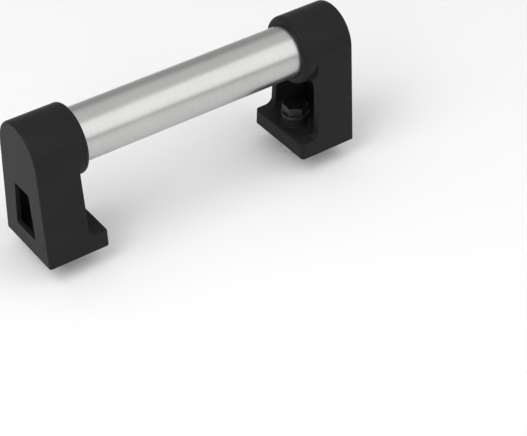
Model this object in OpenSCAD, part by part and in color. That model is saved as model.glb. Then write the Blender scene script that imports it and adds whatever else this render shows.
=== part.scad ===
// Tube handle: a steel tube held at both ends by moulded legs, each with its own bolt, washers and nut.
// Millimetres. X runs along the tube, the operator stands at -Y and the panel is the plane z = 0.
// The origin is on the panel, midway between the two bolts.

/* [Grip tube] */
// Outside diameter of the tube
tube_d = 30; // [24:0.5:34]
// Wall of the tube
tube_wall = 2; // [1:0.25:4]
// Height of the tube's axis above the panel
axis_height = 59.5; // [52:0.5:75]

/* [Leg outline] */
// Width of a leg's foot, across the tube
foot_width = 46.6; // [42:0.2:60]
// Length of a leg's foot, along the tube
foot_length = 36.4; // [34:0.2:46]
// Thickness of the foot's flange
flange_t = 10; // [7:0.5:14]
// Length of the neck along the tube, measured at the flange
neck_length = 25.3; // [19:0.1:28]
// Draft of the neck's inner side
neck_draft = 1.5; // [0:0.1:3]
// Length of the barrel that holds the tube's end, from the outer face
barrel_length = 31.5; // [27:0.5:34]
// Wall of the barrel round the tube
barrel_wall = 4.6; // [3:0.1:7]
// Thickness of plastic that closes the barrel's outer end
end_wall = 4; // [3:0.5:8]

/* [Leg edges] */
// Rounding of the edge round the outer face
face_round = 1.5; // [0.5:0.1:4]
// Rounding of the barrel's rim
rim_round = 2.6; // [0.5:0.1:2.8]
// Hollow fillet between the neck and the flange
neck_fillet = 4.5; // [1:0.5:6]
// Rounding of the flange's upright corners
corner_round = 2; // [0.5:0.1:3]
// Rounding of the flange's top edge at its tip
tip_round = 0.9; // [0.3:0.1:2]

/* [Hollow of the leg] */
// Thickness of the wall behind the outer face
outer_wall = 2.7; // [2:0.1:3.5]
// Thickness of the two side walls
side_wall = 3.9; // [2.5:0.1:6]
// Distance from the tube's axis down to the top of the hollow, beside the barrel
hollow_drop = 15; // [12:0.5:17]
// Rounding of the hollow's corners
hollow_round = 3.5; // [1:0.5:5]
// Height of the lower floor next to the outer wall
well_floor = 4.8; // [4:0.1:6]

/* [Window in the outer face] */
// Width of the window at its foot
window_foot_width = 19.5; // [10:0.5:24]
// Width of the window at its top
window_top_width = 14.4; // [8:0.2:20]
// Height of the window's lower edge
window_low = 11.3; // [9:0.1:16]
// Distance from the barrel's underside down to the window's upper edge
window_drop = 0.4; // [0.2:0.1:12]
// Rounding of the window's corners
window_round = 1.7; // [0.5:0.1:4]

/* [Recess in the mounting face] */
// Length of the recess along the tube
recess_length = 10.2; // [6:0.1:12]
// Width of the recess across the tube
recess_width = 29.4; // [16:0.2:34]
// Depth of the recess
recess_depth = 2.5; // [1:0.1:2.6]
// Rounding of the recess's corners
recess_round = 0.8; // [0.3:0.1:2]

/* [Fixing] */
// Distance between the two bolts
bolt_pitch = 150; // [120:1:500]
// Distance from a leg's outer face to its bolt
bolt_inset = 24.9; // [22.5:0.1:26]
// Diameter of the hole through the foot
bolt_hole_d = 9; // [8.4:0.1:10]
// Diameter of the raised seat under the bolt's head
seat_d = 15.4; // [14:0.1:17]
// Height of the raised seat above the flange
seat_rise = 5.3; // [1:0.1:8]
// Hollow fillet at the foot of the raised seat
seat_fillet = 1; // [0.3:0.1:1.5]

/* [Hardware] */
// Thread diameter of the bolts
thread_d = 8; // [7.8:0.1:8]
// Diameter at which the engaged threads of bolt and nut meet
pitch_d = 7.2; // [7:0.05:7.4]
// How far a bolt stands out of its nut
bolt_reach = 3; // [1.5:0.5:20]
// Height of a bolt's head
head_h = 5.3; // [4.5:0.1:6.5]
// Width across the flats of head and nut
hex_af = 13; // [12:0.5:14]
// Height of a nut
nut_h = 6.5; // [6:0.1:7]
// Outside diameter of a washer
washer_d = 16; // [15:0.5:17]
// Hole of a washer
washer_hole_d = 8.4; // [8.1:0.1:8.9]
// Thickness of a washer
washer_t = 1.6; // [1:0.1:2]
// Chamfer at a bolt's tip
tip_chamfer = 0.9; // [0.4:0.1:1.2]
// Angle of the chamfer on the corners of head and nut
hex_chamfer = 30; // [20:1:35]
// Turn of the bolt heads about their axis, as tightened
head_turn = -3; // [-30:1:30]
// Turn of the left nut about its axis, as tightened
left_nut_turn = 0; // [-30:1:30]
// Turn of the right nut about its axis, as tightened
right_nut_turn = 22; // [-30:1:30]

/* [Clearances] */
// Clearance all round the tube in its socket
socket_clearance = 0.1; // [0.05:0.05:0.3]

/* [Hidden] */
$fn = 96;
// Overrun of a cut past the face it opens
over = 1;
// How far a rounding crosses a slanted face instead of just touching it
hair = 0.0005;

half_length = bolt_pitch / 2 + bolt_inset;
tube_r = tube_d / 2;
socket_r = tube_r + socket_clearance;
barrel_r = socket_r + barrel_wall;
half_foot = foot_width / 2;
leg_top = axis_height + barrel_r;
hollow_top = axis_height - hollow_drop;
window_high = axis_height - barrel_r - window_drop;

// Each side of a leg is a straight line from the foot's corner that touches the barrel's arch
corner_distance = norm([half_foot, axis_height]);
touch_angle = acos(barrel_r / corner_distance) - atan2(axis_height, half_foot);
side_length = sqrt(corner_distance * corner_distance - barrel_r * barrel_r);
// Angle that takes a cut from one side to a little past the top of the arch
half_arch = 100;

// The neck's inner side, at a height above the panel
function neck_x(z) = neck_length - (z - flange_t) * tan(neck_draft);
// Half the width of a leg, at a height up to the arch's start
function side_y(z) = half_foot - z * tan(touch_angle);
// Half the width of the hollow, at a height
function hollow_y(z) = side_y(z) - side_wall;

seat_z = flange_t + seat_rise;
head_z = seat_z + washer_t;
nut_z = -washer_t - nut_h;
tip_z = nut_z - bolt_reach;
hex_corner_r = hex_af / 2 / cos(30);

// Unit vector from one point to another
function toward(a, b) = (b - a) / norm(b - a);
// A vector turned a quarter turn to its left
function left_of(v) = [-v[1], v[0]];
// Inward normal of the side that leaves corner i of an outline listed anticlockwise
function inward(outline, i) = left_of(toward(outline[i], outline[(i + 1) % len(outline)]));
// Centre of the circle that rounds corner i
function round_centre(outline, i, r) =
    let (
        before = inward(outline, (i + len(outline) - 1) % len(outline)),
        after = inward(outline, i)
    )
    outline[i] + r * (before + after) / (1 + before * after);

// Point where a corner's circle meets a side with that inward normal: a slanted side lies a hair inside
function meeting_point(centre, normal, r) =
    centre - (normal[0] == 0 || normal[1] == 0 ? r : r - hair) * normal;

// A convex outline, listed anticlockwise, with its corners rounded
module rounded_outline(outline, r) {
    corners = [for (i = [0 : len(outline) - 1]) i];
    polygon([
        for (i = corners)
            let (
                centre = round_centre(outline, i, r),
                before = inward(outline, (i + len(outline) - 1) % len(outline))
            )
            each [meeting_point(centre, before, r), meeting_point(centre, inward(outline, i), r)]
    ]);
    for (i = corners) translate(round_centre(outline, i, r)) circle(r = r);
}

// What a rounding takes off an outside corner at the origin, whose sides run towards -x and -y
module corner_waste(r) {
    difference() {
        translate([-r, -r]) square(r + over);
        translate([-r, -r]) circle(r = r + hair);
    }
}

// What a fillet adds in an inside corner at the origin, whose sides run towards +x and +y
module corner_fill(r) {
    difference() {
        square(r);
        translate([r, r]) circle(r = r + hair);
    }
}

// Stands a drawing up in the plane across the tube and extrudes it along the tube
module along_tube(length) {
    rotate([90, 0, 90]) linear_extrude(length) children();
}

// Front view of a leg: a foot with sides that close in to touch the arch
module front_outline() {
    touch = (barrel_r - hair) * [cos(touch_angle), sin(touch_angle)] + [0, axis_height];
    translate([0, axis_height]) circle(r = barrel_r);
    polygon([[-half_foot, 0], [half_foot, 0], touch, [-touch[0], touch[1]]]);
}

// Side view of a leg without its barrel: an upright neck on a flat flange
module side_outline() {
    fillet_z = flange_t + neck_fillet;
    fillet_x = neck_x(fillet_z) + neck_fillet / cos(neck_draft) - hair;
    touch = [fillet_x, fillet_z] - neck_fillet * [cos(neck_draft), sin(neck_draft)];
    difference() {
        union() {
            polygon([[0, 0], [foot_length, 0], [foot_length, flange_t], [neck_x(flange_t), flange_t],
                     [neck_x(leg_top), leg_top + over], [0, leg_top + over]]);
            polygon([[neck_x(flange_t) - over, flange_t], [fillet_x, flange_t], [fillet_x, fillet_z], touch,
                     [touch[0] - over, fillet_z]]);
        }
        translate([fillet_x, fillet_z]) circle(r = neck_fillet);
        translate([foot_length, flange_t]) corner_waste(tip_round);
    }
}

// Neck and flange together, still solid
module neck_and_flange() {
    intersection() {
        along_tube(foot_length + over) front_outline();
        translate([0, half_foot + over, 0]) rotate([90, 0, 0])
            linear_extrude(foot_width + 2 * over) side_outline();
    }
}

// Hollow of the neck, open towards the other leg, with a deeper well behind the outer wall
module hollow() {
    well_length = recess_length;
    high = [hollow_y(hollow_top), hollow_top];
    translate([outer_wall, 0, 0]) along_tube(foot_length)
        rounded_outline([[-hollow_y(flange_t), flange_t], [hollow_y(flange_t), flange_t],
                         high, [-high[0], high[1]]], hollow_round);
    translate([outer_wall, 0, 0]) along_tube(well_length)
        rounded_outline([[-hollow_y(well_floor), well_floor], [hollow_y(well_floor), well_floor],
                         high, [-high[0], high[1]]], hollow_round);
}

// Barrel round the tube's end, with a rounded rim
module barrel() {
    start = outer_wall;
    translate([start, 0, axis_height]) rotate([0, 90, 0])
        rotate_extrude() difference() {
            square([barrel_r, barrel_length - start]);
            translate([barrel_r, barrel_length - start]) corner_waste(rim_round);
        }
}

// Raised seat on which the bolt's head and washer bear
module seat() {
    translate([bolt_inset, 0, flange_t - over])
        cylinder(d = seat_d, h = seat_rise + over);
    translate([bolt_inset, 0, flange_t])
        rotate_extrude() translate([seat_d / 2, 0]) corner_fill(seat_fillet);
}

// Window through the outer wall, narrower at its top
module window() {
    low = window_foot_width / 2;
    high = window_top_width / 2;
    translate([-over, 0, 0]) along_tube(outer_wall + 2 * over)
        rounded_outline([[-low, window_low], [low, window_low], [high, window_high], [-high, window_high]],
                        window_round);
}

// Shallow recess in the mounting face, under the well
module recess() {
    half = recess_width / 2;
    translate([outer_wall, 0, -over]) linear_extrude(recess_depth + over)
        rounded_outline([[0, -half], [recess_length, -half], [recess_length, half], [0, half]], recess_round);
}

// Rounds the outer face's edge: each half runs up one side and on past the top of the arch
module face_edge_waste() {
    for (side = [0, 1]) mirror([0, side, 0])
        translate([0, 0, axis_height]) rotate([90, 0, 90]) rotate([0, 0, touch_angle]) {
            rotate_extrude(angle = half_arch)
                translate([barrel_r, 0]) mirror([0, 1]) corner_waste(face_round);
            translate([barrel_r, 0, 0]) rotate([90, 0, 0]) linear_extrude(side_length + over)
                mirror([0, 1]) corner_waste(face_round);
        }
}

// Rounds the flange's two upright corners, which lean with the leg's sides
module flange_corner_waste() {
    for (side = [0, 1]) mirror([0, side, 0])
        translate([foot_length, half_foot, 0]) rotate([touch_angle, 0, 0])
            translate([0, 0, -over]) linear_extrude(flange_t + 2 * over)
                corner_waste(corner_round);
}

// One leg, with its outer face on x = 0 and the tube leaving towards +x
module leg() {
    difference() {
        union() {
            difference() {
                neck_and_flange();
                hollow();
            }
            barrel();
            seat();
        }
        translate([end_wall, 0, axis_height]) rotate([0, 90, 0]) cylinder(r = socket_r, h = foot_length);
        translate([bolt_inset, 0, -over]) cylinder(d = bolt_hole_d, h = seat_z + 2 * over);
        window();
        recess();
        face_edge_waste();
        flange_corner_waste();
    }
}

// Hexagonal prism on z = 0 with its top corners chamfered, and its bottom ones too if asked
module chamfered_hex(h, both_ends) {
    drop = (hex_corner_r - hex_af / 2) * tan(hex_chamfer);
    foot = both_ends ? drop : 0;
    foot_r = both_ends ? hex_af / 2 : hex_corner_r;
    intersection() {
        rotate([0, 0, 30]) cylinder(r = hex_corner_r, h = h, $fn = 6);
        rotate_extrude()
            polygon([[0, 0], [foot_r, 0], [hex_corner_r, foot], [hex_corner_r, h - drop], [hex_af / 2, h], [0, h]]);
    }
}

// Bolt on its axis, from its free end up to its head, at the pitch diameter where the nut holds it
module bolt_on_axis() {
    translate([0, 0, tip_z + tip_chamfer]) cylinder(d = thread_d, h = nut_z - tip_z - tip_chamfer);
    translate([0, 0, tip_z]) cylinder(d1 = thread_d - 2 * tip_chamfer, d2 = thread_d, h = tip_chamfer);
    translate([0, 0, nut_z]) cylinder(d = pitch_d, h = nut_h);
    translate([0, 0, -washer_t]) cylinder(d = thread_d, h = head_z + washer_t);
    translate([0, 0, head_z]) rotate([0, 0, head_turn]) chamfered_hex(head_h, false);
}

// Nut on its axis, with a countersink at both ends of its thread
module nut_on_axis(turn) {
    sink = (thread_d - pitch_d) / 2;
    difference() {
        translate([0, 0, nut_z]) rotate([0, 0, turn]) chamfered_hex(nut_h, true);
        translate([0, 0, nut_z - over]) cylinder(d = pitch_d, h = nut_h + 2 * over);
        translate([0, 0, nut_z]) cylinder(d1 = thread_d, d2 = pitch_d, h = sink);
        translate([0, 0, nut_z + nut_h - sink]) cylinder(d1 = pitch_d, d2 = thread_d, h = sink);
    }
}

// Washer on its axis, at a height
module washer_on_axis(z) {
    translate([0, 0, z]) difference() {
        cylinder(d = washer_d, h = washer_t);
        translate([0, 0, -over]) cylinder(d = washer_hole_d, h = washer_t + 2 * over);
    }
}

// Moves what stands on the origin's axis to the left or the right bolt
module at_bolt(side) {
    translate([side * bolt_pitch / 2, 0, 0]) children();
}

module grip_tube() {
    reach = half_length - end_wall;
    color("lightgray") translate([-reach, 0, axis_height]) rotate([0, 90, 0])
        difference() {
            cylinder(r = tube_r, h = 2 * reach);
            translate([0, 0, -over]) cylinder(r = tube_r - tube_wall, h = 2 * reach + 2 * over);
        }
}

module left_leg() {
    color("dimgray") translate([-half_length, 0, 0]) leg();
}

module right_leg() {
    color("dimgray") mirror([1, 0, 0]) translate([-half_length, 0, 0]) leg();
}

module bolt(side) {
    color("silver") at_bolt(side) bolt_on_axis();
}

module head_washer(side) {
    color("gainsboro") at_bolt(side) washer_on_axis(seat_z);
}

module foot_washer(side) {
    color("gainsboro") at_bolt(side) washer_on_axis(-washer_t);
}

module nut(side, turn) {
    color("silver") at_bolt(side) nut_on_axis(turn);
}

grip_tube();
left_leg();
right_leg();
bolt(-1);  // left_bolt
bolt(1);  // right_bolt
head_washer(-1);  // left_head_washer
head_washer(1);  // right_head_washer
foot_washer(-1);  // left_foot_washer
foot_washer(1);  // right_foot_washer
nut(-1, left_nut_turn);  // left_nut
nut(1, right_nut_turn);  // right_nut
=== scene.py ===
"""Finished model of a tube handle: a satin steel tube between two black moulded legs, and its hardware."""

from math import cos, radians, sin, tau

import bmesh
import bpy
from bpy.props import FloatProperty, FloatVectorProperty, PointerProperty
from mathutils import Euler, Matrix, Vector


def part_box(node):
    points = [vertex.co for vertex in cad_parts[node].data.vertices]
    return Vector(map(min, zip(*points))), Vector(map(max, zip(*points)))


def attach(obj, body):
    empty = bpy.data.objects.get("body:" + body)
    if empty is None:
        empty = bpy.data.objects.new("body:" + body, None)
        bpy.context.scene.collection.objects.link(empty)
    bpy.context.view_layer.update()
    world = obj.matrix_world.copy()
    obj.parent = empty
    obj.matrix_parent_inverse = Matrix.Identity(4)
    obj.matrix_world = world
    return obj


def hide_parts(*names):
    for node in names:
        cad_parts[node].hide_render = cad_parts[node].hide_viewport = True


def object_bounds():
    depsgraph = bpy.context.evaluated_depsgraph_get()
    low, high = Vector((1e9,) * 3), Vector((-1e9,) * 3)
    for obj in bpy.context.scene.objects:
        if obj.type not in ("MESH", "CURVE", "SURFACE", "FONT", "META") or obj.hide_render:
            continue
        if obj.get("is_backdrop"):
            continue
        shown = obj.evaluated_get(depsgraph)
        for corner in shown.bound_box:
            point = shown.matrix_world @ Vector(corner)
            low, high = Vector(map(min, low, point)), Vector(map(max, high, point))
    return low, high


bl_info = {
    "name": "Tube handle",
    "version": (1, 0, 0),
    "blender": (4, 5, 0),
    "location": "3D View > Sidebar > Tube handle",
    "description": "Builds the finished tube handle round its packed solids",
    "category": "Object",
}

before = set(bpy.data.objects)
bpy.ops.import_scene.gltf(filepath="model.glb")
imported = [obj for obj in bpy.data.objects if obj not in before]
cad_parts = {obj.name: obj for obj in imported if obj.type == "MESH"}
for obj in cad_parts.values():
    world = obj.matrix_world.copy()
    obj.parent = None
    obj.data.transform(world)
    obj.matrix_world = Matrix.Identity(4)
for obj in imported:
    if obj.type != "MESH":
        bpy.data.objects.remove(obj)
cad_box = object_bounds()

SIDES = ("left", "right")

# How finely round forms are divided
TUBE_FACETS = 256
WASHER_FACETS = 96
ROD_FACETS = 72
THREAD_ROWS = 14
CORNER_STEPS = 4
ROUNDING_STEPS = 3

# What counts as one point, as a flat face and as a sharp edge of a solid, in metres and radians
SAME_POINT = 0.000002
FLAT_ANGLE = radians(1.8)
SHARP_ANGLE = radians(32)

# The thread's crest and its flank, as shares of the way from the crest's middle to the root's
CREST_SHARE = 0.1
FLANK_SHARE = 0.78

# The bolt's head is kept from just above its washer. A rod reaches up into it, and the rod's thread runs out
# inside the nut. All four are in metres.
CUT_ABOVE_WASHER = 0.00003
ROD_INTO_HEAD = 0.001
THREAD_INTO_NUT = 0.0003
THREAD_RUN_OUT = 0.0002

# The stage, in metres, and the width of the camera's sensor in millimetres
FLOOR_REACH = 4
FLOOR_GAP = 0.00005
LIGHT_AIM = Vector((0, 0, 0.04))
SENSOR_WIDTH = 36

# How the corner normals of a mesh follow its faces
NORMALS_BY_AREA = {"mode": "FACE_AREA"}
NORMALS_BY_AREA_AND_ANGLE = {"mode": "FACE_AREA_WITH_ANGLE"}

# The colour sockets of a Mix node, by number
MIX_FIRST = 6
MIX_SECOND = 7
MIX_RESULT = 2


# Settings

class TubeSettings(bpy.types.PropertyGroup):
    """Sizes and finish of the grip tube"""
    wall: FloatProperty(
        name="Wall", description="Wall of the tube", default=0.002, subtype="DISTANCE", unit="LENGTH")
    edge: FloatProperty(
        name="End edge", description="Rounding of the tube's end edges", default=0.0004, subtype="DISTANCE",
        unit="LENGTH")
    color: FloatVectorProperty(
        name="Steel", description="Colour of the ground steel", default=(0.515, 0.511, 0.502),
        subtype="COLOR", min=0, max=1)
    roughness: FloatProperty(
        name="Roughness", description="Mean roughness of the ground finish", default=0.3, min=0, max=1)
    grinding: FloatProperty(
        name="Grinding", description="Depth of the fine lines that run round the tube", default=0.000012,
        subtype="DISTANCE", unit="LENGTH")


class LegSettings(bpy.types.PropertyGroup):
    """Edges and finish of the moulded legs"""
    edge: FloatProperty(
        name="Edge", description="Rounding of the edges of the outline", default=0.0006, subtype="DISTANCE",
        unit="LENGTH")
    rim: FloatProperty(
        name="Rim", description="Rounding of the rims of seat, bores and window", default=0.00022,
        subtype="DISTANCE", unit="LENGTH")
    largest_rim: FloatProperty(
        name="Largest rim", description="A rim is shorter than this along each axis", default=0.035,
        subtype="DISTANCE", unit="LENGTH")
    color: FloatVectorProperty(
        name="Plastic", description="Colour of the moulded plastic", default=(0.016, 0.016, 0.0163),
        subtype="COLOR", min=0, max=1)
    roughness: FloatProperty(
        name="Roughness", description="Mean roughness of the moulded skin", default=0.42, min=0, max=1)
    shine: FloatProperty(
        name="Shine", description="Level of the moulded skin's reflection", default=0.07, min=0, max=1)
    grain: FloatProperty(
        name="Grain", description="Depth of the mould's fine grain", default=0.00003, subtype="DISTANCE",
        unit="LENGTH")


class HardwareSettings(bpy.types.PropertyGroup):
    """Thread, edges and finish of bolts, washers and nuts"""
    thread_pitch: FloatProperty(
        name="Thread pitch", description="Rise of the thread in one turn", default=0.00125,
        subtype="DISTANCE", unit="LENGTH")
    thread_depth: FloatProperty(
        name="Thread depth", description="Depth of the thread's groove", default=0.00062, subtype="DISTANCE",
        unit="LENGTH")
    thread_radius: FloatProperty(
        name="Thread radius", description="Radius over the thread's crests", default=0.00397,
        subtype="DISTANCE", unit="LENGTH")
    tip_chamfer: FloatProperty(
        name="Tip chamfer", description="Chamfer round the bolt's tip", default=0.0009, subtype="DISTANCE",
        unit="LENGTH")
    shank_radius: FloatProperty(
        name="Shank radius", description="Radius of the plain shank inside the leg", default=0.0034,
        subtype="DISTANCE", unit="LENGTH")
    washer_bore: FloatProperty(
        name="Washer bore", description="Radius of the washers' bore", default=0.0042, subtype="DISTANCE",
        unit="LENGTH")
    washer_edge: FloatProperty(
        name="Washer edge", description="Rounding of the washers' edges", default=0.000252,
        subtype="DISTANCE", unit="LENGTH")
    edge: FloatProperty(
        name="Edge", description="Rounding of the hexagons' edges", default=0.00018, subtype="DISTANCE",
        unit="LENGTH")
    zinc: FloatVectorProperty(
        name="Zinc", description="Colour of the zinc plating", default=(0.70, 0.70, 0.69), subtype="COLOR",
        min=0, max=1)
    black: FloatVectorProperty(
        name="Blackened steel", description="Colour of the blackened bolts and head washers",
        default=(0.042, 0.042, 0.044), subtype="COLOR", min=0, max=1)
    roughness: FloatProperty(
        name="Roughness", description="Mean roughness of the hardware", default=0.3, min=0, max=1)
    marks: FloatProperty(
        name="Marks", description="Depth of the fine marks on the hardware", default=0.000012,
        subtype="DISTANCE", unit="LENGTH")


class StageSettings(bpy.types.PropertyGroup):
    """Camera, floor and light"""
    camera_place: FloatVectorProperty(
        name="Camera", description="Where the photograph's camera stood", default=(-0.3905, -0.6281, 0.5668),
        subtype="TRANSLATION", unit="LENGTH")
    camera_turn: FloatVectorProperty(
        name="Turn", description="How the camera was turned",
        default=(radians(51.19), radians(0.307), radians(-35.448)), subtype="EULER")
    lens: FloatProperty(name="Lens", description="Focal length in millimetres", default=114.22, min=10)
    floor_color: FloatVectorProperty(
        name="Floor", description="Colour of the floor", default=(0.9, 0.9, 0.9), subtype="COLOR",
        min=0, max=1)
    softbox_power: FloatProperty(
        name="Softbox", description="Power of the large softbox in watts", default=12.8, min=0)
    top_power: FloatProperty(
        name="Top light", description="Power of the light overhead in watts", default=9.0, min=0)
    side_power: FloatProperty(
        name="Side light", description="Power of the light at the upper left in watts", default=9.0, min=0)
    fill_power: FloatProperty(
        name="Fill light", description="Power of the light at the front left in watts", default=4.0, min=0)
    room_light: FloatProperty(name="Room", description="Strength of the room's light", default=0.46, min=0)


# Materials

class Signal:
    """A node's output, on which Python's operators add Math nodes."""

    def __init__(self, finish, socket):
        self.finish = finish
        self.socket = socket

    def math(self, operation, *values):
        """Adds a Math node."""
        return self.finish.node("ShaderNodeMath", {"operation": operation}, dict(enumerate(values)))

    def __add__(self, other):
        return self.math("ADD", self, other)

    def __sub__(self, other):
        return self.math("SUBTRACT", self, other)

    def __rsub__(self, other):
        return self.math("SUBTRACT", other, self)

    def __mul__(self, other):
        return self.math("MULTIPLY", self, other)

    __radd__ = __add__
    __rmul__ = __mul__


class Finish:
    """One material, filled node by node."""

    def __init__(self, name):
        self.material = bpy.data.materials.new(name)
        self.material.use_nodes = True
        self.tree = self.material.node_tree
        self.tree.nodes.clear()

    def node(self, kind, settings=None, sockets=None, output=0):
        """Adds a node, applies its settings, then sets or links its sockets, and gives one output."""
        made = self.tree.nodes.new(kind)
        for key, value in (settings or {}).items():
            if key == "stops":
                for element, (place, grey) in zip(made.color_ramp.elements, value, strict=True):
                    element.position = place
                    element.color = (grey, grey, grey, 1)
            else:
                setattr(made, key, value)
        for key, value in (sockets or {}).items():
            if isinstance(value, Signal):
                self.tree.links.new(value.socket, made.inputs[key])
            else:
                made.inputs[key].default_value = value
        return Signal(self, made.outputs[output])

    def place(self):
        """The point's place in the object's own frame, in metres."""
        return self.node("ShaderNodeTexCoord", output="Object")

    def stretched(self, vector, scale):
        """A vector with each of its parts scaled."""
        return self.node("ShaderNodeVectorMath", {"operation": "MULTIPLY"}, {0: vector, 1: scale})

    def noise(self, vector, scale=1.0, detail=2.0, roughness=0.5):
        """Cloudy noise about 0.5."""
        return self.node(
            "ShaderNodeTexNoise", None,
            {"Vector": vector, "Scale": scale, "Detail": detail, "Roughness": roughness})

    def spread(self, value, low, high):
        """A value led through a grey ramp from 0 at low to 1 at high."""
        return self.node("ShaderNodeValToRGB", {"stops": [(low, 0.0), (high, 1.0)]}, {0: value})

    def shades(self, factor, color, darkest, lightest):
        """A colour between two shades of itself."""
        return self.node(
            "ShaderNodeMix", {"data_type": "RGBA"},
            {0: factor, MIX_FIRST: shade(color, darkest), MIX_SECOND: shade(color, lightest)},
            output=MIX_RESULT)

    def bump(self, height, depth):
        """A normal raised by a height between 0 and 1, whose full range is depth, in metres."""
        return self.node("ShaderNodeBump", None, {"Height": height, "Distance": depth, "Strength": 1.0})

    def principled(self, sockets):
        """Ends the tree with a Principled shader and gives the material."""
        shader = self.node("ShaderNodeBsdfPrincipled", None, sockets)
        surface = self.tree.nodes.new("ShaderNodeOutputMaterial").inputs["Surface"]
        self.tree.links.new(shader.socket, surface)
        return self.material


def shade(color, factor):
    """A colour made lighter or darker, with its alpha."""
    return tuple(min(1.0, part * factor) for part in color) + (1.0,)


def uneven(mean, *noises):
    """A mean value changed by noises, each given with the span of its change."""
    for noise, span in noises:
        mean = mean + (noise - 0.5) * span
    return mean


def ground_steel(settings):
    """Satin steel with fine grinding lines round the tube."""
    steel = Finish("ground_steel")
    place = steel.place()
    fine = steel.noise(steel.stretched(place, (9000, 45, 45)), detail=3.0, roughness=0.6)
    lines = steel.noise(steel.stretched(place, (1400, 14, 14)))
    clouds = steel.noise(steel.stretched(place, (45, 60, 60)), detail=3.0)
    tone = steel.spread(lines * 0.5 + clouds * 0.5, low=0.3, high=0.7)
    return steel.principled({
        "Base Color": steel.shades(tone, settings.color, darkest=0.93, lightest=1.05),
        "Metallic": 1.0,
        "Roughness": uneven(settings.roughness, (fine, 0.12), (clouds, 0.08)),
        "Normal": steel.bump(fine * 0.6 + lines * 0.4, settings.grinding),
    })


def moulded_plastic(settings):
    """Matt black plastic with the fine grain of a spark-eroded mould."""
    plastic = Finish("moulded_plastic")
    place = plastic.place()
    grain = plastic.noise(place, scale=2600, detail=3.0, roughness=0.6)
    patches = plastic.noise(place, scale=70, detail=3.0)
    swell = plastic.noise(place, scale=28, detail=1.0)
    return plastic.principled({
        "Base Color": plastic.shades(patches, settings.color, darkest=0.86, lightest=1.14),
        "Roughness": uneven(settings.roughness, (grain, 0.16), (patches, 0.1)),
        "Specular IOR Level": settings.shine,
        "Normal": plastic.bump(grain + swell * 2.0, settings.grain),
    })


def plated_steel(name, color, settings, rougher, scratches, metallic=1.0):
    """Plated or blackened steel.

    Rougher is added to the mean roughness, and scratches is the scale of the fine marks along each axis.
    """
    plating = Finish(name)
    place = plating.place()
    marks = plating.noise(plating.stretched(place, scratches), detail=3.0, roughness=0.65)
    patches = plating.noise(place, scale=420, detail=4.0, roughness=0.6)
    tone = plating.spread(patches, low=0.35, high=0.65)
    return plating.principled({
        "Base Color": plating.shades(tone, color, darkest=0.84, lightest=1.04),
        "Metallic": metallic,
        "Roughness": uneven(settings.roughness + rougher, (patches, 0.2), (marks, 0.12)),
        "Normal": plating.bump(marks * 0.5 + patches * 0.5, settings.marks),
    })


def floor_paint(settings):
    """Pale matt paper."""
    paper = Finish("floor_paint")
    fibre = paper.noise(paper.place(), scale=300, detail=3.0)
    return paper.principled({
        "Base Color": paper.shades(fibre, settings.floor_color, darkest=0.99, lightest=1.0),
        "Roughness": 0.85,
        "Specular IOR Level": 0.2,
    })


# Meshes

def new_object(name, bm, material, slot=None, node=None):
    """Turns a bmesh into a smooth object. With a slot it rides on the part and stands for its solid."""
    bmesh.ops.recalc_face_normals(bm, faces=bm.faces)
    for face in bm.faces:
        face.smooth = True
        face.material_index = 0
    mesh = bpy.data.meshes.new(name)
    bm.to_mesh(mesh)
    bm.free()
    mesh.materials.append(material)
    obj = bpy.data.objects.new(name, mesh)
    bpy.context.scene.collection.objects.link(obj)
    if slot:
        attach(obj, "root")
        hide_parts(node)
    return obj


def bake(obj, **modifiers):
    """Applies modifiers, each given as TYPE={setting: value}, to an object's mesh."""
    for kind, settings in modifiers.items():
        modifier = obj.modifiers.new(kind, kind)
        for key, value in settings.items():
            setattr(modifier, key, value)
    bpy.context.view_layer.update()
    evaluated = obj.evaluated_get(bpy.context.evaluated_depsgraph_get())
    mesh = bpy.data.meshes.new_from_object(evaluated)
    obj.modifiers.clear()
    old = obj.data
    obj.data = mesh
    mesh.name = old.name
    bpy.data.meshes.remove(old)


def solid_copy(node):
    """The solid's mesh as a bmesh, joined up and with its flat faces in one piece each."""
    bm = bmesh.new()
    bm.from_mesh(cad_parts[node].data)
    bmesh.ops.remove_doubles(bm, verts=bm.verts, dist=SAME_POINT)
    bmesh.ops.dissolve_limit(bm, angle_limit=FLAT_ANGLE, verts=bm.verts, edges=bm.edges)
    bmesh.ops.recalc_face_normals(bm, faces=bm.faces)
    return bm


def part_above(node, height):
    """The part of a solid above a height, closed with a flat face."""
    bm = solid_copy(node)
    cut = bmesh.ops.bisect_plane(
        bm, geom=[*bm.verts, *bm.edges, *bm.faces], plane_co=(0, 0, height), plane_no=(0, 0, 1),
        clear_inner=True)
    rim = [part for part in cut["geom_cut"] if isinstance(part, bmesh.types.BMEdge)]
    bmesh.ops.edgeloop_fill(bm, edges=rim)
    return bm


def chains(edges):
    """Groups edges that touch each other, in the order given."""
    waiting = set(edges)
    for start in edges:
        if start not in waiting:
            continue
        waiting.remove(start)
        chain = [start]
        for edge in chain:
            for near in (other for corner in edge.verts for other in corner.link_edges):
                if near in waiting:
                    waiting.remove(near)
                    chain.append(near)
        yield chain


def reach(chain):
    """The longest side of the box round a chain of edges."""
    places = [corner.co for edge in chain for corner in edge.verts]
    return max(max(along) - min(along) for along in zip(*places))


def settle_faces(bm):
    """Puts the faces in a fixed order, because the order that the bevel gives changes from run to run."""
    bm.verts.index_update()
    count = len(bm.verts)
    bm.faces.sort(key=lambda face: face.verts[0].index * count + face.verts[1].index)


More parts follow.
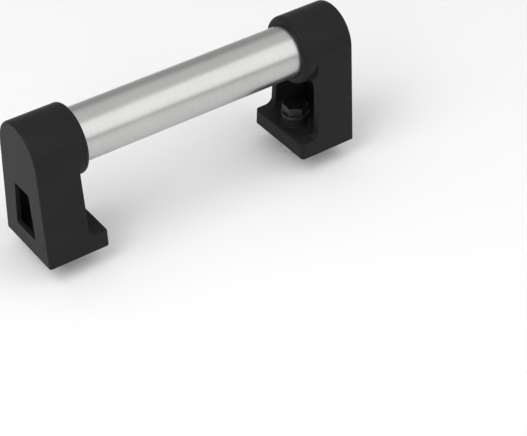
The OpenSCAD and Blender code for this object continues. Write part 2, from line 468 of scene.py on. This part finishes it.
def round_outer_edges(bm, outline_width, rim_width, largest_rim):
    """Rounds the outer sharp edges: those of the outline, and more crisply the rims of openings.

    The edges of inner corners, and the outer ones that meet them, stay sharp.
    """
    sharp = [edge for edge in bm.edges if edge.calc_face_angle(0) > SHARP_ANGLE]
    inner = {corner for edge in sharp if not edge.is_convex for corner in edge.verts}
    outer = list(chains([edge for edge in sharp if edge.is_convex and inner.isdisjoint(edge.verts)]))
    outline = [edge for chain in outer if reach(chain) >= largest_rim for edge in chain]
    rims = [edge for chain in outer if reach(chain) < largest_rim for edge in chain]
    for edges, width in ((outline, outline_width), (rims, rim_width)):
        bmesh.ops.bevel(
            bm, geom=edges, offset=width, offset_type="OFFSET", segments=ROUNDING_STEPS, profile=0.5,
            affect="EDGES", clamp_overlap=False, loop_slide=False)
    for edge in bm.edges:
        edge.smooth = edge.calc_face_angle(0) < SHARP_ANGLE
    settle_faces(bm)


def soften(obj, width):
    """Rounds all sharp edges of a small object, as far as its narrowest faces let them."""
    bake(
        obj,
        BEVEL={"width": width, "segments": ROUNDING_STEPS, "limit_method": "ANGLE",
               "angle_limit": SHARP_ANGLE, "use_clamp_overlap": True},
        WEIGHTED_NORMAL=NORMALS_BY_AREA_AND_ANGLE,
    )


def join_rings(bm, first, second):
    """Joins two rings of points with a band of faces."""
    for here in range(len(first)):
        there = (here + 1) % len(first)
        bm.faces.new((first[here], first[there], second[there], second[here]))


def rounded_rectangle(low, high, inner, outer, edge):
    """Profile of a ring's wall, as (along, radius) points, with its four edges rounded."""
    corners = [(low, inner, 180), (high, inner, 270), (high, outer, 0), (low, outer, 90)]
    points = []
    for along, radius, start in corners:
        centre = (along + (edge if along == low else -edge), radius + (edge if radius == inner else -edge))
        for i in range(CORNER_STEPS + 1):
            angle = radians(start + 90 * i / CORNER_STEPS)
            points.append((centre[0] + edge * cos(angle), centre[1] + edge * sin(angle)))
    return points


def revolved(profile, facets, axis, centre):
    """A closed profile of (along, radius) points, spun round an axis through the centre."""
    bm = bmesh.new()
    rings = []
    for i in range(facets):
        angle = tau * i / facets
        ring = []
        for along, radius in profile:
            around = (radius * cos(angle), radius * sin(angle))
            point = (along, *around) if axis == "X" else (*around, along)
            ring.append(bm.verts.new(Vector(point) + centre))
        rings.append(ring)
    for ring, following in zip(rings, rings[1:] + rings[:1]):
        join_rings(bm, ring, following)
    return bm


def thread_radius(height, angle, low, settings):
    """Radius of the thread at a height and an angle, with a chamfered tip."""
    turns = (height / settings.thread_pitch - angle / tau) % 1.0
    from_crest = abs(2 * turns - 1)
    flank = min(1.0, max(0.0, (from_crest - CREST_SHARE) / FLANK_SHARE))
    thread = settings.thread_radius - settings.thread_depth * flank
    tip = settings.thread_radius - settings.tip_chamfer + (height - low)
    return min(thread, tip)


def add_threaded_rod(bm, centre, low, high, thread_end, settings):
    """Adds a closed rod along Z: threaded from low up to thread_end, and then plain up to high."""
    step = settings.thread_pitch / THREAD_ROWS
    threaded = [low + i * step for i in range(int((thread_end - low) / step) + 1)]
    rings = []
    for height in threaded + [thread_end + THREAD_RUN_OUT, high]:
        ring = []
        for i in range(ROD_FACETS):
            angle = tau * i / ROD_FACETS
            plain = height > thread_end
            radius = settings.shank_radius if plain else thread_radius(height, angle, low, settings)
            x = centre[0] + radius * cos(angle)
            y = centre[1] + radius * sin(angle)
            ring.append(bm.verts.new((x, y, height)))
        rings.append(ring)
    for below, above in zip(rings, rings[1:]):
        join_rings(bm, below, above)
    bm.faces.new(rings[0][::-1])
    bm.faces.new(rings[-1])


# Operators

class HANDLE_OT_grip_tube(bpy.types.Operator):
    """Build the ground steel tube"""
    bl_idname = "handle.grip_tube"
    bl_label = "Grip tube"

    def execute(self, context):
        settings = context.scene.handle_tube
        low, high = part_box("grip_tube")
        radius = (high.z - low.z) / 2
        axis = Vector((0, 0, (high.z + low.z) / 2))
        wall = rounded_rectangle(low.x, high.x, radius - settings.wall, radius, settings.edge)
        tube = revolved(wall, TUBE_FACETS, "X", axis)
        obj = new_object("tube_ground", tube, ground_steel(settings), "tube", "grip_tube")
        bake(obj, WEIGHTED_NORMAL=NORMALS_BY_AREA)
        return {"FINISHED"}


class HANDLE_OT_legs(bpy.types.Operator):
    """Build the two moulded legs"""
    bl_idname = "handle.legs"
    bl_label = "Moulded legs"

    def execute(self, context):
        settings = context.scene.handle_legs
        plastic = moulded_plastic(settings)
        for side in SIDES:
            leg = solid_copy(f"{side}_leg")
            round_outer_edges(leg, settings.edge, settings.rim, settings.largest_rim)
            obj = new_object(f"moulded_leg_{side}", leg, plastic, "legs", f"{side}_leg")
            bake(obj, WEIGHTED_NORMAL={**NORMALS_BY_AREA_AND_ANGLE, "keep_sharp": True})
        return {"FINISHED"}


class HANDLE_OT_bolts(bpy.types.Operator):
    """Build the hexagon bolts with their threads"""
    bl_idname = "handle.bolts"
    bl_label = "Bolts"

    def execute(self, context):
        settings = context.scene.handle_hardware
        black = plated_steel(
            "blackened_bolt", settings.black, settings, rougher=0.05, scratches=(900, 900, 2600),
            metallic=0.85)
        for side in SIDES:
            node = f"{side}_bolt"
            low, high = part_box(node)
            centre = ((low.x + high.x) / 2, (low.y + high.y) / 2)
            washer_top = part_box(f"{side}_head_washer")[1].z
            nut_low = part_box(f"{side}_nut")[0].z
            head = part_above(node, washer_top + CUT_ABOVE_WASHER)
            obj = new_object(f"hex_bolt_{side}", head, black, "bolts", node)
            soften(obj, settings.edge)
            bolt = bmesh.new()
            bolt.from_mesh(obj.data)
            add_threaded_rod(
                bolt, centre, low.z, washer_top + ROD_INTO_HEAD, nut_low + THREAD_INTO_NUT, settings)
            bolt.to_mesh(obj.data)
            bolt.free()
        return {"FINISHED"}


class HANDLE_OT_nuts(bpy.types.Operator):
    """Build the hexagon nuts"""
    bl_idname = "handle.nuts"
    bl_label = "Nuts"

    def execute(self, context):
        settings = context.scene.handle_hardware
        zinc = plated_steel("zinc_nut", settings.zinc, settings, rougher=-0.04, scratches=(1500, 1500, 1500))
        for side in SIDES:
            node = f"{side}_nut"
            obj = new_object(f"hex_nut_{side}", solid_copy(node), zinc, "nuts", node)
            soften(obj, settings.edge)
        return {"FINISHED"}


class HANDLE_OT_washers(bpy.types.Operator):
    """Build the stamped washers"""
    bl_idname = "handle.washers"
    bl_label = "Washers"

    def execute(self, context):
        settings = context.scene.handle_hardware
        scratches = (700, 2600, 900)
        black = plated_steel(
            "blackened_washer", settings.black, settings, rougher=0.08, scratches=scratches, metallic=0.7)
        zinc = plated_steel("zinc_washer", settings.zinc, settings, rougher=0.05, scratches=scratches)
        for side in SIDES:
            for place, finish, slot in (("head", black, "head_washers"), ("foot", zinc, "foot_washers")):
                node = f"{side}_{place}_washer"
                low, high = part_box(node)
                centre = Vector(((low.x + high.x) / 2, (low.y + high.y) / 2, 0))
                radius = (high.x - low.x) / 2
                section = rounded_rectangle(
                    low.z, high.z, settings.washer_bore, radius, settings.washer_edge)
                washer = revolved(section, WASHER_FACETS, "Z", centre)
                obj = new_object(f"flat_washer_{place}_{side}", washer, finish, slot, node)
                bake(obj, WEIGHTED_NORMAL=NORMALS_BY_AREA)
        return {"FINISHED"}


class HANDLE_OT_stage(bpy.types.Operator):
    """Set up the floor, the lights and the camera"""
    bl_idname = "handle.stage"
    bl_label = "Stage"

    def execute(self, context):
        settings = context.scene.handle_stage
        self.lay_floor(settings)
        self.light_room(context.scene, settings)
        self.set_area_lights(context.scene, settings)
        self.set_camera(context.scene, settings)
        return {"FINISHED"}

    def lay_floor(self, settings):
        """A square floor just under the lowest point of the solids."""
        bm = bmesh.new()
        bmesh.ops.create_grid(bm, x_segments=1, y_segments=1, size=FLOOR_REACH)
        bmesh.ops.translate(bm, verts=bm.verts, vec=(0, 0, cad_box[0][2] - FLOOR_GAP))
        new_object("floor", bm, floor_paint(settings))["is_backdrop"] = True

    def light_room(self, scene, settings):
        """An even white light from all sides."""
        room = bpy.data.worlds.new("room")
        room.use_nodes = True
        background = room.node_tree.nodes["Background"]
        background.inputs["Color"].default_value = (1, 1, 1, 1)
        background.inputs["Strength"].default_value = settings.room_light
        scene.world = room

    def set_area_lights(self, scene, settings):
        """Four soft rectangular lights that face the handle, each with its place, size and power."""
        for name, place, size, power in (
            ("softbox", (0.8, -1.3, 1.15), (1.9, 1.9), settings.softbox_power),
            ("top_light", (0.3, 0.5, 2.0), (3.0, 2.4), settings.top_power),
            ("side_light", (-0.87, -0.17, 1.15), (0.9, 0.9), settings.side_power),
            ("fill_light", (-1.1, -0.8, 0.7), (0.8, 0.8), settings.fill_power),
        ):
            data = bpy.data.lights.new(name, "AREA")
            data.shape = "RECTANGLE"
            data.size, data.size_y = size
            data.energy = power
            light = bpy.data.objects.new(name, data)
            light.location = place
            light.rotation_euler = (Vector(place) - LIGHT_AIM).to_track_quat("Z", "Y").to_euler()
            scene.collection.objects.link(light)

    def set_camera(self, scene, settings):
        """The photograph's camera."""
        data = bpy.data.cameras.new("camera")
        data.lens = settings.lens
        data.sensor_width = SENSOR_WIDTH
        camera = bpy.data.objects.new("camera", data)
        camera.location = settings.camera_place
        camera.rotation_euler = Euler(settings.camera_turn, "XYZ")
        scene.collection.objects.link(camera)
        scene.camera = camera
        scene.view_settings.view_transform = "Standard"


# Panel and registration

STEPS = (
    HANDLE_OT_stage, HANDLE_OT_grip_tube, HANDLE_OT_legs, HANDLE_OT_bolts, HANDLE_OT_nuts, HANDLE_OT_washers,
)
SETTINGS = {
    "handle_tube": TubeSettings,
    "handle_legs": LegSettings,
    "handle_hardware": HardwareSettings,
    "handle_stage": StageSettings,
}


class HANDLE_PT_panel(bpy.types.Panel):
    """Lists the handle's pieces and their settings"""
    bl_idname = "HANDLE_PT_panel"
    bl_label = "Tube handle"
    bl_space_type = "VIEW_3D"
    bl_region_type = "UI"
    bl_category = "Tube handle"

    def draw(self, context):
        for name, group in SETTINGS.items():
            box = self.layout.box()
            for key in group.__annotations__:
                box.prop(getattr(context.scene, name), key)
        for step in STEPS:
            self.layout.operator(step.bl_idname)


def register():
    for cls in (*SETTINGS.values(), *STEPS, HANDLE_PT_panel):
        bpy.utils.register_class(cls)
    for name, group in SETTINGS.items():
        setattr(bpy.types.Scene, name, PointerProperty(type=group))


def unregister():
    for name in SETTINGS:
        delattr(bpy.types.Scene, name)
    for cls in (HANDLE_PT_panel, *reversed(STEPS), *reversed(SETTINGS.values())):
        bpy.utils.unregister_class(cls)


def main():
    """Builds everything in order."""
    register()
    for step in STEPS:
        category, _, name = step.bl_idname.partition(".")
        getattr(getattr(bpy.ops, category), name)()
    boxes = {"cad": cad_box, "visual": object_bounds()}
    {key: [list(corner) for corner in box] for key, box in boxes.items()}


if __name__ == "__main__":
    main()
